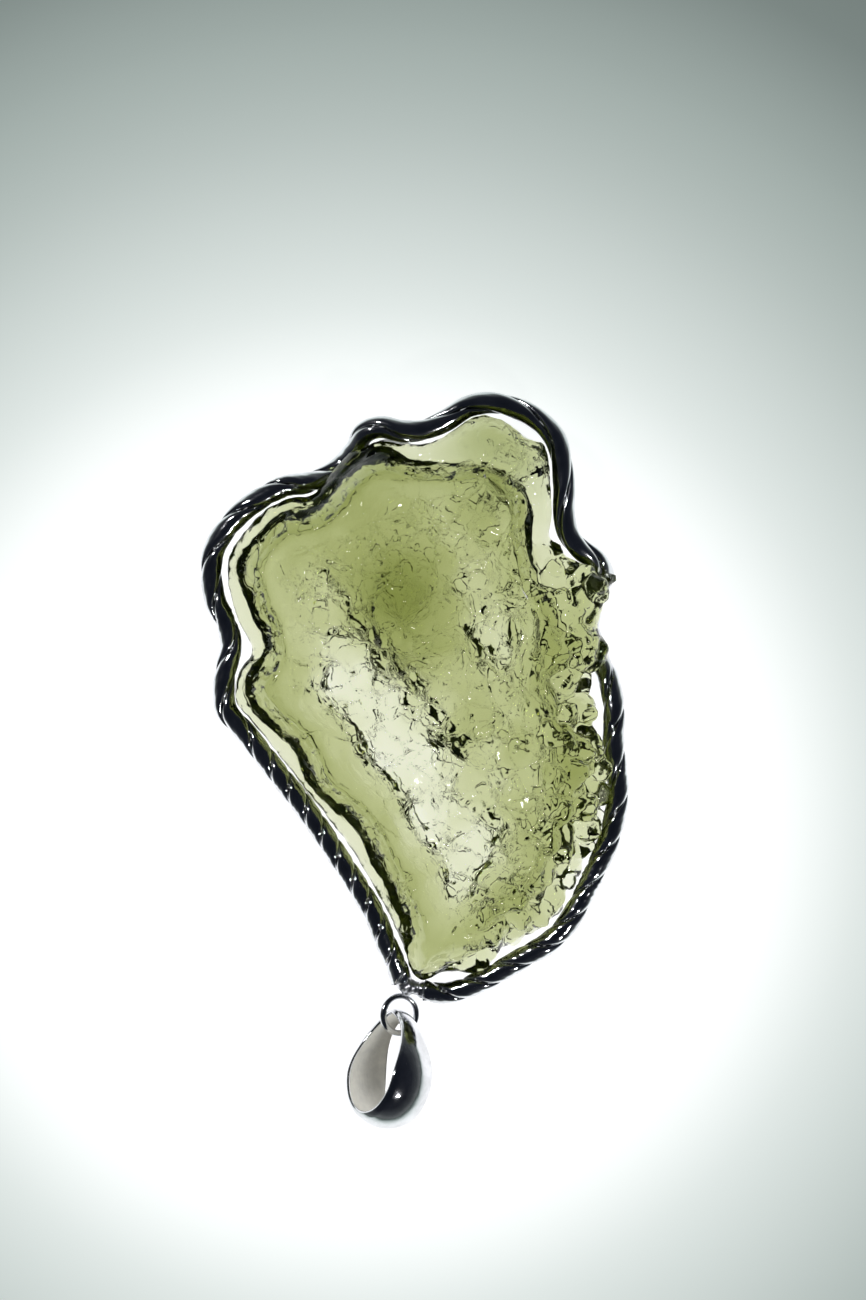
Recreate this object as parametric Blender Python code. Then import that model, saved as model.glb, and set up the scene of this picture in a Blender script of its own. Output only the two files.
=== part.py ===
"""Moldavite pendant: a green glass stone in a frame of twisted silver wire, with a jump ring and a bail.

The pendant lies on its back on a table. X is across it, Y runs from the bail to the top of the stone,
and Z is up. The origin is under the middle of its outline, on the table. Lengths in this file are in
millimetres and are turned into metres where a mesh is made.
"""

import math

import bmesh
import bpy
import numpy as np
from mathutils import Vector, noise

METRES_PER_MM = 0.001
# Puts the origin under the middle of the whole outline.
SHIFT_TO_MIDDLE = (0.06, 0.1, 0.0)

# Stone: outline seen from above, anticlockwise from the bottom point, joined by a smooth closed curve.
STONE_OUTLINE = (
    (0.9, -15.5), (1.9, -14.9), (3.8, -14.7), (5.7, -13.8), (8.2, -12.1), (10.0, -10.4), (11.2, -7.8),
    (12.2, -5.7), (13.2, -3.5), (13.1, -2.0), (13.4, -0.8), (13.2, 0.4), (12.2, 2.5), (12.4, 4.2),
    (11.7, 5.5), (12.7, 6.7), (13.1, 7.6), (12.7, 9.1), (12.8, 10.5), (13.2, 12.5), (12.6, 13.1),
    (10.8, 14.3), (9.4, 15.3), (9.6, 17.2), (9.4, 19.7), (9.0, 22.0), (8.0, 22.4), (6.1, 23.7),
    (4.2, 24.0), (1.7, 22.5), (0.0, 22.1), (-2.0, 22.6), (-4.4, 21.7), (-5.6, 20.4), (-7.4, 18.5),
    (-9.0, 18.4), (-10.7, 17.4), (-12.9, 14.6), (-13.1, 12.4), (-12.4, 9.7), (-11.4, 7.7),
    (-12.5, 6.0), (-12.6, 4.0), (-9.8, 0.6), (-7.6, -2.5), (-4.9, -5.6), (-2.3, -10.0),
    (-0.9, -13.0), (-0.2, -15.1),
)
STONE_CENTRE = (0.7, 3.5)
STONE_SEGMENTS = 210
STONE_RINGS = 44
STONE_TRIANGLES = 5690

# The thin rim round the stone, and the steep step that rises inside it.
RIM_LEVEL = 3.45
RIM_HALF_THICKNESS = 0.9
RIM_ROUNDING = 0.7
RIM_DROP_AT_FOOT = 0.7
STEP_INSET = 0.7
STEP_WIDTH = 1.8
STEP_RISE = 2.4
UNDER_STEP_INSET = 0.65
UNDER_STEP_WIDTH = 3.2
UNDER_STEP_FALL = 2.1
# The share of a step that is rounded at each end, how far inside the steps their shoulders run into the
# middle, how deep scallops cut into the upper one, and the lowest level of the lower one.
STEP_ROUNDING = 0.15
SHOULDER_WIDTH = 3.0
UNDER_SHOULDER_WIDTH = 3.6
SHOULDER_CARVING = 0.15
LOWEST_SHOULDER = 0.45
# How far the step wanders in and out, and the rim up and down, each with the size of its waves.
STEP_WANDER = 0.45
STEP_WANDER_SIZE = 2.6
UNDER_STEP_SHARE = 0.85
RIM_WAVE = 0.28
RIM_WAVE_SIZE = 5.5
# Where the rim is wider than usual: x, y, reach, extra width.
WIDE_RIMS = (
    (5.9, 22.4, 4.0, 2.5), (-7.7, 17.5, 3.2, 0.2), (9.2, 11.0, 3.4, 1.7), (9.0, -8.5, 3.5, 0.6),
    (-0.2, -13.6, 3.2, -0.75),
)
# Where the rim is higher than usual: x, y, reach x, reach y, extra height.
HIGH_RIMS = ((6.3, 22.0, 4.0, 3.4, 1.1), (12.6, 9.5, 3.2, 4.6, 0.8), (-6.5, 18.5, 4.5, 3.0, 0.4))
# Where the rim is thicker than usual: x, y, reach x, reach y, extra half thickness.
THICK_RIMS = (
    (6.3, 22.0, 4.0, 3.4, 1.8), (13.2, 9.5, 3.4, 4.8, 1.8), (13.0, 0.5, 2.6, 4.5, 1.1),
    (9.0, -9.5, 3.6, 3.6, 0.6), (-6.5, 18.5, 5.0, 3.0, 0.8),
)

# The stone's top above the table, inside its shoulder: level, then swells as x, y, reach x, reach y, height.
TOP_LEVEL = 5.75
TOP_SWELLS = (
    (-0.9, 10.8, 3.0, 3.7, 4.5), (0.5, 12.0, 6.5, 6.0, -0.5), (-8.0, 10.0, 3.0, 3.5, -1.0),
    (-4.5, 15.5, 4.0, 3.0, 1.5), (3.0, 16.0, 4.0, 3.5, 0.3), (6.0, 20.0, 3.0, 3.0, 2.6),
    (5.5, 8.5, 2.6, 3.6, -0.9), (10.5, 9.0, 3.0, 4.5, 1.1), (11.0, 1.5, 3.0, 5.0, 0.8),
    (10.0, -5.0, 3.5, 4.0, 0.1), (5.5, 1.0, 3.0, 5.0, 0.2), (-0.5, 0.0, 4.0, 4.5, -1.5),
    (-5.0, 0.0, 4.0, 6.0, -1.1), (1.0, -7.0, 4.0, 5.0, -1.5), (5.0, -9.0, 4.0, 4.0, -1.3),
    (-5.0, 6.0, 3.5, 3.5, -1.1), (3.2, 4.4, 4.0, 5.0, -0.4),
)
# Its underside: usual level, then swells, of which the first is the low place that it rests on.
UNDER_LEVEL = 1.25
UNDER_SWELLS = (
    (3.0, 4.4, 4.0, 5.0, -1.8), (-0.9, 10.8, 3.0, 3.7, -0.2), (0.5, 12.0, 6.5, 6.0, -0.7),
    (-4.5, 15.5, 4.0, 3.0, -0.8), (3.0, 16.0, 4.0, 3.5, -0.3), (6.0, 20.0, 3.0, 3.0, -0.8),
    (5.5, 8.5, 2.6, 3.6, 0.7), (10.5, 9.0, 3.0, 4.5, -0.7), (11.0, 1.5, 3.0, 5.0, -0.7),
    (10.0, -5.0, 3.5, 4.0, -0.5), (5.5, 1.0, 3.0, 5.0, -0.3), (-0.5, 0.0, 4.0, 4.5, 1.2),
    (-5.0, 0.0, 4.0, 6.0, 0.6), (1.0, -7.0, 4.0, 5.0, 0.8), (5.0, -9.0, 4.0, 4.0, 0.8),
    (-5.0, 6.0, 3.5, 3.5, 0.6),
)
LEAST_THICKNESS = 1.3
LEAST_THICKNESS_BLEND = 0.5

# Shallow round scallops that meet in crisp ridges: x, y, half width, half length, turn in degrees, depth.
TOP_SCALLOPS = (
    (0.0, 4.2, 3.7, 3.7, 0, 0.83), (-4.9, 4.9, 3.3, 3.3, 0, 0.66), (-1.1, -0.1, 3.2, 2.9, 0, 0.61),
    (-4.6, -2.1, 3.0, 3.0, 0, 0.5), (1.7, -9.1, 3.4, 3.2, 0, 0.55), (5.9, -7.0, 2.8, 2.8, 0, 0.5),
    (-8.1, 13.2, 2.4, 2.0, 20, 0.5), (-9.1, 8.4, 1.9, 2.2, 0, 0.44), (-4.3, 15.9, 2.4, 1.9, 25, 0.44),
    (7.3, 4.0, 2.3, 2.7, 10, 0.44), (4.9, -0.4, 2.0, 2.9, 25, 0.44), (8.0, -1.6, 2.0, 2.6, 15, 0.39),
    (1.9, 17.7, 1.9, 1.5, 0, 0.39), (3.0, 15.0, 1.9, 1.9, 0, 0.44), (4.6, 12.7, 2.1, 2.4, 0, 0.5),
    (0.6, 20.3, 2.4, 1.2, 0, 0.28), (-0.7, -6.6, 2.0, 2.4, 0, 0.39), (3.7, 9.3, 1.6, 2.1, 0, 0.33),
)
# Smaller and deeper pits on top of them, in the same form.
TOP_PITS = (
    (0.7, -4.3, 2.0, 1.6, -8, 0.63), (6.0, 8.3, 0.85, 2.25, -8, 0.49), (7.8, 9.4, 1.3, 1.4, 0, 0.35),
    (3.3, -3.2, 0.95, 0.95, 0, 0.35), (3.6, -5.1, 1.0, 1.0, 0, 0.35), (-5.8, 5.6, 1.4, 1.4, 0, 0.28),
    (-2.1, 0.0, 1.0, 1.0, 0, 0.32), (-5.7, 9.4, 0.75, 0.6, 0, 0.24), (1.7, 17.6, 1.3, 1.2, 0, 0.32),
    (6.4, 18.5, 0.9, 1.6, 30, 0.32), (2.7, -9.6, 1.0, 1.3, 0, 0.28), (-8.9, 11.4, 1.1, 0.6, -20, 0.28),
)
UNDER_SCALLOPS = (
    (-6.8, 13.4, 3.0, 2.6, 20, 0.56), (-1.8, 14.6, 3.2, 2.6, 0, 0.48), (4.6, 13.9, 2.9, 2.6, 0, 0.48),
    (8.4, 9.4, 2.4, 3.4, 0, 0.48), (-5.4, 6.6, 3.0, 3.2, 0, 0.56), (-4.6, 0.8, 2.8, 3.0, 0, 0.48),
    (-2.6, -4.4, 2.9, 2.9, 0, 0.48), (0.9, -9.4, 3.0, 2.8, 0, 0.4), (5.4, -6.0, 2.9, 2.7, 0, 0.48),
    (9.0, -1.4, 2.4, 3.0, 0, 0.48), (4.2, 19.2, 2.8, 2.0, 0, 0.4), (1.2, -3.4, 1.4, 1.2, 0, 0.4),
)
# Broken, lumpy ground on the right edge and at the lower right: how far in it reaches, over what distance
# it fades, and the size and height of its lumps.
ROUGH_REACH = 4.2
ROUGH_FADE = 2.6
ROUGH_LUMP = 1.5
ROUGH_HEIGHT = 1.6

# Frame: the route of the twisted wires from the joint up the left side and round, as x, y, height.
FRAME_ROUTE = (
    (-1.0, -15.55, 2.45), (-1.35, -14.5, 2.8), (-2.1, -12.8, 3.4), (-3.05, -10.5, 3.7), (-5.15, -7.15, 3.9),
    (-7.45, -3.75, 3.9), (-9.95, -0.55, 3.8), (-12.1, 2.15, 3.8), (-13.2, 3.4, 3.7), (-13.45, 4.9, 3.7),
    (-13.25, 6.4, 3.7), (-12.9, 8.0, 3.7), (-13.3, 9.7, 3.7), (-14.0, 11.1, 3.7), (-14.3, 13.0, 3.7),
    (-14.1, 14.7, 3.8), (-13.2, 16.2, 4.0), (-11.6, 17.8, 4.1), (-9.3, 19.1, 4.0), (-7.6, 19.4, 3.5),
    (-6.3, 19.9, 2.6), (-5.1, 20.8, 2.3), (-4.3, 21.8, 2.8), (-3.6, 22.9, 3.6), (-2.4, 23.3, 4.0),
    (-0.9, 23.0, 4.1), (0.6, 23.1, 4.0), (2.2, 23.8, 3.9), (3.6, 24.7, 3.8), (5.2, 25.0, 3.7),
    (6.8, 24.7, 3.7), (8.4, 23.9, 3.8), (9.7, 22.6, 3.9), (10.2, 21.0, 3.9), (10.4, 19.0, 3.9),
    (10.4, 17.2, 3.9), (10.7, 15.8, 3.9), (11.5, 14.8, 3.8), (12.7, 13.9, 3.2), (13.2, 12.8, 2.2),
    (12.5, 11.2, 1.2), (12.3, 9.2, 1.1), (12.8, 7.4, 1.8), (13.5, 5.8, 3.0), (13.9, 3.7, 3.7),
    (13.85, 1.7, 3.8), (14.0, -0.1, 3.8), (14.2, -1.9, 3.7), (14.0, -3.7, 3.7), (13.5, -5.7, 3.7),
    (12.7, -7.5, 3.7), (11.7, -9.6, 3.6), (10.6, -11.5, 3.6), (9.2, -12.9, 3.5), (7.8, -13.7, 3.4),
    (6.3, -14.6, 3.3), (4.9, -15.4, 3.1), (3.3, -16.1, 2.9), (1.9, -16.4, 2.6), (0.6, -16.25, 2.45),
)
# How tightly the wires are twisted: share of the route, then length of one full left-hand turn.
TWIST_PITCH = (
    (0.0, 3.9), (0.16, 3.9), (0.2, 7.5), (0.38, 7.0), (0.45, 12.0), (0.62, 12.0), (0.67, 7.0), (0.85, 5.4),
    (1.0, 5.0),
)
TWIST_START = 0.6
STATION_TURN = math.radians(54)
STATION_LENGTH = 1.5
# One strand's section: distance from the seam between the strands, then across it.
STRAND_SECTION = (
    (0.03, -0.5), (0.22, -0.7), (0.6, -0.52), (0.79, 0.0), (0.6, 0.52), (0.22, 0.7), (0.03, 0.5),
)
FRAME_RADIUS = 0.79
FRAME_CLEARANCE = FRAME_RADIUS + 0.1

# Clearing the stone of the frame: how near a face has to be to be looked at, the number of rounds, the
# smallest move, and the places on a face that are looked at, as shares of its three corners.
NEAR_FRAME = 2.5
PRESSING_ROUNDS = 25
PRESSING_TOLERANCE = 0.005
FACE_SAMPLES = np.array([(a, b, 4 - a - b) for a in range(5) for b in range(5 - a)]) / 4

# Jump ring: the middle of its wire where the bail hangs, its size, and how far its left side is raised.
RING_HANG_POINT = (-1.12, -19.3, 2.12)
RING_RADIUS = 1.32
RING_WIRE_RADIUS = 0.24
RING_TILT = math.radians(28)
RING_SEGMENTS = 26
RING_SIDES = 6

# Solder bead between the ends of the frame and the ring: centre and half sizes.
SOLDER_CENTRE = (-0.3, -16.0, 2.3)
SOLDER_HALF_SIZE = (0.76, 0.34, 0.6)
SOLDER_SQUARENESS = 0.75
SOLDER_NARROWING = 0.15

# Bail: a drop-shaped band. Its point lies in the ring, and its broad end rests on the table.
BAIL_LENGTH = 7.75
BAIL_HALF_DEPTH = 2.6
BAIL_BLUNTNESS = 0.3
BAIL_WIDEST = 0.93
BAIL_WALL = 0.33
BAIL_WIDTH_AT_POINT = 1.5
BAIL_WIDTH = 3.7
BAIL_WIDENS_OVER = 5.0
BAIL_CROWN = 0.55
BAIL_POINT = (-1.12, -17.8, 1.97)
BAIL_LEAN = math.radians(50)
BAIL_LEAN_DIRECTION = (-0.93, 0.367)
BAIL_DIRECTION = (-0.16, -0.987)
BAIL_SEGMENTS = 26
BAIL_STEP = 1e-4


def material(name, colour, roughness, metallic, transmission=0.0, ior=1.5):
    made = bpy.data.materials.new(name)
    made.use_nodes = True
    made.diffuse_color = (*colour, 1.0)
    shader = made.node_tree.nodes["Principled BSDF"]
    shader.inputs["Base Color"].default_value = (*colour, 1.0)
    shader.inputs["Roughness"].default_value = roughness
    shader.inputs["Metallic"].default_value = metallic
    shader.inputs["Transmission Weight"].default_value = transmission
    shader.inputs["IOR"].default_value = ior
    return made


def object_from_bmesh(name, shape, finish, origin=(0, 0, 0)):
    """An object from a shape in millimetres, with its origin at the given point."""
    bmesh.ops.translate(shape, verts=shape.verts, vec=-Vector(origin))
    bmesh.ops.scale(shape, verts=shape.verts, vec=(METRES_PER_MM,) * 3)
    bmesh.ops.recalc_face_normals(shape, faces=shape.faces)
    mesh = bpy.data.meshes.new(name)
    shape.to_mesh(mesh)
    shape.free()
    mesh.materials.append(finish)
    made = bpy.data.objects.new(name, mesh)
    made.location = (Vector(origin) + Vector(SHIFT_TO_MIDDLE)) * METRES_PER_MM
    bpy.context.collection.objects.link(made)
    return made


def smooth_route(points, closed, steps=16):
    """A Catmull-Rom curve through the points, in short steps."""
    points = np.array(points, float)
    count = len(points)
    if closed:
        padded = np.concatenate([points[-1:], points, points[:2]])
        spans = count
    else:
        padded = np.concatenate([2 * points[:1] - points[1:2], points, 2 * points[-1:] - points[-2:-1]])
        spans = count - 1
    along = np.linspace(0, 1, steps, endpoint=False)[:, None]
    pieces = []
    for span in range(spans):
        before, start, end, after = padded[span:span + 4]
        pieces.append(
            0.5 * (2 * start + (end - before) * along
                   + (2 * before - 5 * start + 4 * end - after) * along**2
                   + (3 * start - before - 3 * end + after) * along**3)
        )
    if not closed:
        pieces.append(points[-1:])
    return np.concatenate(pieces)


def evenly_spaced(route, count, closed):
    """The route again, as points at equal distances along it."""
    if closed:
        route = np.concatenate([route, route[:1]])
    lengths = np.r_[0, np.cumsum(np.linalg.norm(np.diff(route, axis=0), axis=1))]
    wanted = np.linspace(0, lengths[-1], count, endpoint=not closed)
    return np.stack([np.interp(wanted, lengths, route[:, axis]) for axis in range(route.shape[1])], axis=1)


def eased(share):
    share = np.clip(share, 0, 1)
    return share * share * (3 - 2 * share)


def sloped(share):
    """An even slope from 0 to 1 with rounded ends."""
    share = np.clip(share, 0, 1)
    middle = share - STEP_ROUNDING / 2
    start = share**2 / (2 * STEP_ROUNDING)
    end = 1 - STEP_ROUNDING - (1 - share) ** 2 / (2 * STEP_ROUNDING)
    height = np.where(share < STEP_ROUNDING, start, np.where(share > 1 - STEP_ROUNDING, end, middle))
    return height / (1 - STEP_ROUNDING)


def swells(x, y, places):
    """Soft hills and hollows, each a bell curve."""
    height = np.zeros_like(x)
    for centre_x, centre_y, reach_x, reach_y, amount in places:
        height += amount * np.exp(-((x - centre_x) / reach_x) ** 2 - ((y - centre_y) / reach_y) ** 2)
    return height


def bowls(x, y, places, power):
    """Depth of a group of round bowls; where two meet, the deeper one wins and leaves a ridge."""
    depth = np.zeros_like(x)
    for centre_x, centre_y, half_width, half_length, turn, deepest in places:
        angle = math.radians(turn)
        across = (x - centre_x) * math.cos(angle) + (y - centre_y) * math.sin(angle)
        along = (y - centre_y) * math.cos(angle) - (x - centre_x) * math.sin(angle)
        inside = np.clip(1 - (across / half_width) ** 2 - (along / half_length) ** 2, 0, 1)
        depth = np.maximum(depth, deepest * inside**power)
    return depth


def wander(x, y, size, layer):
    """Smooth natural variation between about -1 and 1, over patches of the given size."""
    return np.array([noise.noise((a / size, b / size, layer)) for a, b in zip(x, y)])


def distance_to_edge(x, y, outline):
    gaps = np.hypot(x[:, None] - outline[None, :, 0], y[:, None] - outline[None, :, 1])
    return gaps.min(axis=1)


def rim_level(x, y):
    """Height of the middle of the rim, which waves a little and is lower at the foot."""
    level = RIM_LEVEL - RIM_DROP_AT_FOOT * eased((-6 - y) / 9) + swells(x, y, HIGH_RIMS)
    return level + RIM_WAVE * wander(x, y, RIM_WAVE_SIZE, 3.1)


def stone_heights(x, y, outline):
    """Height of the stone's top and underside over points inside its outline."""
    inset = distance_to_edge(x, y, outline)
    thickest = RIM_HALF_THICKNESS + swells(x, y, THICK_RIMS)
    rounding = RIM_ROUNDING * thickest / RIM_HALF_THICKNESS
    half = thickest * np.sqrt(1 - (1 - np.clip(inset / rounding, 0, 1)) ** 2)
    widening = swells(x, y, [(a, b, reach, reach, extra) for a, b, reach, extra in WIDE_RIMS])
    widening += STEP_WANDER * wander(x, y, STEP_WANDER_SIZE, 0.7)
    middle = rim_level(x, y)
    top_step = inset - STEP_INSET - widening
    under_step = inset - UNDER_STEP_INSET - UNDER_STEP_SHARE * widening
    carved = bowls(x, y, TOP_SCALLOPS, 1.0) + bowls(x, y, TOP_PITS, 1.5)
    inner = TOP_LEVEL + swells(x, y, TOP_SWELLS) - carved
    shoulder = middle + thickest + STEP_RISE - SHOULDER_CARVING * carved
    share = eased((top_step - STEP_WIDTH) / SHOULDER_WIDTH)
    rise = sloped(top_step / STEP_WIDTH)
    top = middle + half + (shoulder + (inner - shoulder) * share - middle - thickest) * rise
    inner = UNDER_LEVEL + swells(x, y, UNDER_SWELLS) + bowls(x, y, UNDER_SCALLOPS, 1.0)
    shoulder = np.maximum(middle - thickest - UNDER_STEP_FALL, LOWEST_SHOULDER)
    share = eased((under_step - UNDER_STEP_WIDTH) / UNDER_SHOULDER_WIDTH)
    fall = sloped(under_step / UNDER_STEP_WIDTH)
    under = middle - half + (shoulder + (inner - shoulder) * share - middle + thickest) * fall
    least = LEAST_THICKNESS * half / thickest
    spare = top - under - least
    under = top - least - (spare + np.hypot(spare, LEAST_THICKNESS_BLEND * half / thickest)) / 2
    return top, under, inset


def roughness_weight(x, y, inset):
    """How broken the surface is: most on the right edge and at the lower right."""
    right_side = eased((x - 6.5) / 4) * eased((18 - y) / 4)
    lower_right = eased((x - 2) / 4) * eased((-6 - y) / 4)
    near_edge = eased((ROUGH_REACH - inset) / ROUGH_FADE)
    return np.maximum(right_side, lower_right) * near_edge


def rough_lumps(points, amount, upward):
    """Moves points out from the stone's middle, and up or down, by the lumps of a cell pattern."""
    moved = points.copy()
    for index in np.nonzero(amount > 0.02)[0]:
        place = Vector(points[index]) / ROUGH_LUMP
        nearest = noise.voronoi(place)[0][0]
        away_x, away_y = points[index][:2] - STONE_CENTRE
        outward = Vector((away_x, away_y, 0)).normalized()
        height = ROUGH_HEIGHT * (0.5 - nearest) * float(amount[index])
        moved[index, 0] += outward.x * height
        moved[index, 1] += outward.y * height
        moved[index, 2] += upward * height
    return moved


def pressed_clear(points, route, clearance):
    """Moves points that are nearer to the route than the clearance straight away from it."""
    gaps = np.linalg.norm(points[:, None, :] - route[None, :, :], axis=2)
    nearest = route[gaps.argmin(axis=1)]
    distance = gaps.min(axis=1)
    close = distance < clearance
    away = (points[close] - nearest[close]) / np.maximum(distance[close], 1e-6)[:, None]
    points = points.copy()
    points[close] = nearest[close] + away * clearance
    return points


def with_clear_faces(shape, route):
    """Moves the corners of faces away from the route until no face comes nearer to it than the clearance."""
    points = np.array([vert.co for vert in shape.verts])
    shape.verts.index_update()
    corners = np.array([[vert.index for vert in face.verts] for face in shape.faces])
    gaps = np.linalg.norm(points[:, None, :] - route[None, ::4, :], axis=2).min(axis=1)
    corners = corners[gaps[corners].min(axis=1) < NEAR_FRAME]
    for _ in range(PRESSING_ROUNDS):
        samples = (FACE_SAMPLES @ points[corners]).reshape(-1, 3)
        moves = (pressed_clear(samples, route, FRAME_CLEARANCE) - samples).reshape(len(corners), -1, 3)
        farthest = np.linalg.norm(moves, axis=2).argmax(axis=1)
        moves = moves[np.arange(len(corners)), farthest]
        touched = np.linalg.norm(moves, axis=1) > PRESSING_TOLERANCE
        if not touched.any():
            break
        total = np.zeros_like(points)
        count = np.zeros(len(points))
        np.add.at(total, corners[touched].ravel(), np.repeat(moves[touched], 3, axis=0))
        np.add.at(count, corners[touched].ravel(), 1)
        points += total / np.maximum(count, 1)[:, None]
    for vert, point in zip(shape.verts, points):
        vert.co = point
    return shape


def stone_shape(route):
    """The whole stone as a fine closed mesh, in rings from its middle out to its edge."""
    outline = evenly_spaced(smooth_route(STONE_OUTLINE, closed=True), STONE_SEGMENTS, closed=True)
    centre = np.array(STONE_CENTRE)
    shares = 1 - (1 - np.arange(1, STONE_RINGS + 1) / STONE_RINGS) ** 1.5
    rings = centre + shares[:, None, None] * (outline[None] - centre)
    plan = np.concatenate([centre[None], rings.reshape(-1, 2)])
    fine_outline = evenly_spaced(smooth_route(STONE_OUTLINE, closed=True), 700, closed=True)
    top, under, inset = stone_heights(plan[:, 0], plan[:, 1], fine_outline)
    weight = roughness_weight(plan[:, 0], plan[:, 1], inset)
    upper = rough_lumps(np.column_stack([plan, top]), weight, 1)
    lower = rough_lumps(np.column_stack([plan, under]), weight, -1)
    edge = slice(len(plan) - STONE_SEGMENTS, len(plan))
    lower[edge] = upper[edge]
    upper = pressed_clear(upper, route, FRAME_CLEARANCE)
    lower = pressed_clear(lower, route, FRAME_CLEARANCE)

    shape = bmesh.new()
    tops = [shape.verts.new(point) for point in upper]
    unders = [shape.verts.new(point) for point in lower[:edge.start]] + tops[edge]
    for verts, facing_up in ((tops, True), (unders, False)):
        for segment in range(STONE_SEGMENTS):
            following = (segment + 1) % STONE_SEGMENTS
            corners = [verts[0], verts[1 + segment], verts[1 + following]]
            shape.faces.new(corners if facing_up else corners[::-1])
            for ring in range(STONE_RINGS - 1):
                inner = 1 + ring * STONE_SEGMENTS
                outer = inner + STONE_SEGMENTS
                corners = [verts[inner + segment], verts[outer + segment],
                           verts[outer + following], verts[inner + following]]
                shape.faces.new(corners if facing_up else corners[::-1])
    return shape


def with_fewer_triangles(shape, wanted):
    """The same shape with its flatter places drawn in larger triangles."""
    bmesh.ops.triangulate(shape, faces=shape.faces)
    mesh = bpy.data.meshes.new("fine")
    shape.to_mesh(mesh)
    shape.free()
    fine = bpy.data.objects.new("fine", mesh)
    bpy.context.collection.objects.link(fine)
    reduce = fine.modifiers.new("fewer triangles", "DECIMATE")
    reduce.ratio = wanted / len(mesh.polygons)
    bpy.context.view_layer.update()
    reduced = bmesh.new()
    reduced.from_object(fine, bpy.context.evaluated_depsgraph_get())
    bpy.data.objects.remove(fine)
    bpy.data.meshes.remove(mesh)
    return reduced


def with_flat_foot(shape):
    """Cuts the low place on the underside off at the table, which leaves the flat that the stone rests on."""
    cut = bmesh.ops.bisect_plane(
        shape, geom=shape.verts[:] + shape.edges[:] + shape.faces[:], plane_co=(0, 0, 0), plane_no=(0, 0, 1),
        clear_inner=True, dist=1e-5,
    )
    border = [item for item in cut["geom_cut"] if isinstance(item, bmesh.types.BMEdge)]
    bmesh.ops.edgeloop_fill(shape, edges=border)
    bmesh.ops.triangulate(shape, faces=[face for face in shape.faces if len(face.verts) > 3])
    return shape


def make_stone(route, finish):
    shape = with_fewer_triangles(stone_shape(route), STONE_TRIANGLES)
    shape = with_flat_foot(with_clear_faces(shape, route))
    made = object_from_bmesh("stone", shape, finish)
    made.data.shade_smooth()
    return made


def frame_route():
    return evenly_spaced(smooth_route(FRAME_ROUTE, closed=False), 900, closed=False)


def strand_stations(route):
    """Places along the route, each with its direction and the angle that the wires have turned to."""
    lengths = np.r_[0, np.cumsum(np.linalg.norm(np.diff(route, axis=0), axis=1))]
    whole = lengths[-1]
    shares, pitches = zip(*TWIST_PITCH)
    angles = TWIST_START - np.r_[0, np.cumsum(
        2 * math.pi / np.interp(lengths[1:] / whole, shares, pitches) * np.diff(lengths))]
    places = [0.0]
    while places[-1] < whole:
        pitch = np.interp(places[-1] / whole, shares, pitches)
        places.append(places[-1] + min(STATION_LENGTH, pitch * STATION_TURN / (2 * math.pi)))
    places = np.array(places) * whole / places[-1]
    points = np.stack([np.interp(places, lengths, route[:, axis]) for axis in range(3)], axis=1)
    directions = np.gradient(route, axis=0)
    directions = np.stack([np.interp(places, lengths, directions[:, axis]) for axis in range(3)], axis=1)
    directions /= np.linalg.norm(directions, axis=1)[:, None]
    return points, directions, np.interp(places, lengths, angles)


def bridge_rings(shape, rings, closed):
    """Faces between rings of vertices, with flat ends when the row of rings is open."""
    pairs = list(zip(rings, rings[1:] + rings[:1] if closed else rings[1:]))
    for first, second in pairs:
        count = len(first)
        for index in range(count):
            following = (index + 1) % count
            shape.faces.new([first[index], first[following], second[following], second[index]])
    if not closed:
        shape.faces.new(rings[0][::-1])
        shape.faces.new(rings[-1])


def make_strand(name, route, turn, finish):
    """One of the two wires of the frame, wound round the route."""
    shape = bmesh.new()
    rings = []
    for point, direction, angle in zip(*strand_stations(route)):
        side = np.cross(direction, (0, 0, 1))
        side /= np.linalg.norm(side)
        up = np.cross(side, direction)
        outward = math.cos(angle + turn) * side + math.sin(angle + turn) * up
        across = np.cross(direction, outward)
        rings.append([shape.verts.new(point + outward * a + across * b) for a, b in STRAND_SECTION])
    bridge_rings(shape, rings, closed=False)
    bmesh.ops.triangulate(shape, faces=shape.faces, quad_method="SHORT_EDGE")
    made = object_from_bmesh(name, shape, finish, origin=tuple(route[0]))
    made.data.shade_smooth()
    return made


def ring_axes():
    """The direction of the ring's wire where the bail hangs, and the direction into the ring."""
    return Vector((math.cos(RING_TILT), 0, -math.sin(RING_TILT))), Vector((0, 1, 0))


def make_ring(finish):
    wire_direction, inward = ring_axes()
    axis = wire_direction.cross(inward)
    centre = Vector(RING_HANG_POINT) + inward * RING_RADIUS
    shape = bmesh.new()
    rings = []
    for segment in range(RING_SEGMENTS):
        angle = 2 * math.pi * segment / RING_SEGMENTS
        outward = wire_direction * math.sin(angle) - inward * math.cos(angle)
        ring = []
        for side in range(RING_SIDES):
            turn = 2 * math.pi * side / RING_SIDES
            offset = outward * (RING_RADIUS + RING_WIRE_RADIUS * math.cos(turn))
            ring.append(shape.verts.new(centre + offset + axis * (RING_WIRE_RADIUS * math.sin(turn))))
        rings.append(ring)
    bridge_rings(shape, rings, closed=True)
    made = object_from_bmesh("jump_ring", shape, finish, origin=tuple(centre))
    made.data.shade_smooth()
    return made


def make_solder(finish):
    shape = bmesh.new()
    bmesh.ops.create_icosphere(shape, subdivisions=2, radius=1.0)
    for vert in shape.verts:
        vert.co = Vector([math.copysign(abs(part) ** SOLDER_SQUARENESS, part) for part in vert.co])
        vert.co *= max(abs(part) for part in vert.co) ** SOLDER_NARROWING
    bmesh.ops.scale(shape, verts=shape.verts, vec=SOLDER_HALF_SIZE)
    bmesh.ops.translate(shape, verts=shape.verts, vec=SOLDER_CENTRE)
    made = object_from_bmesh("solder", shape, finish, origin=SOLDER_CENTRE)
    made.data.shade_smooth()
    return made


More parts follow.
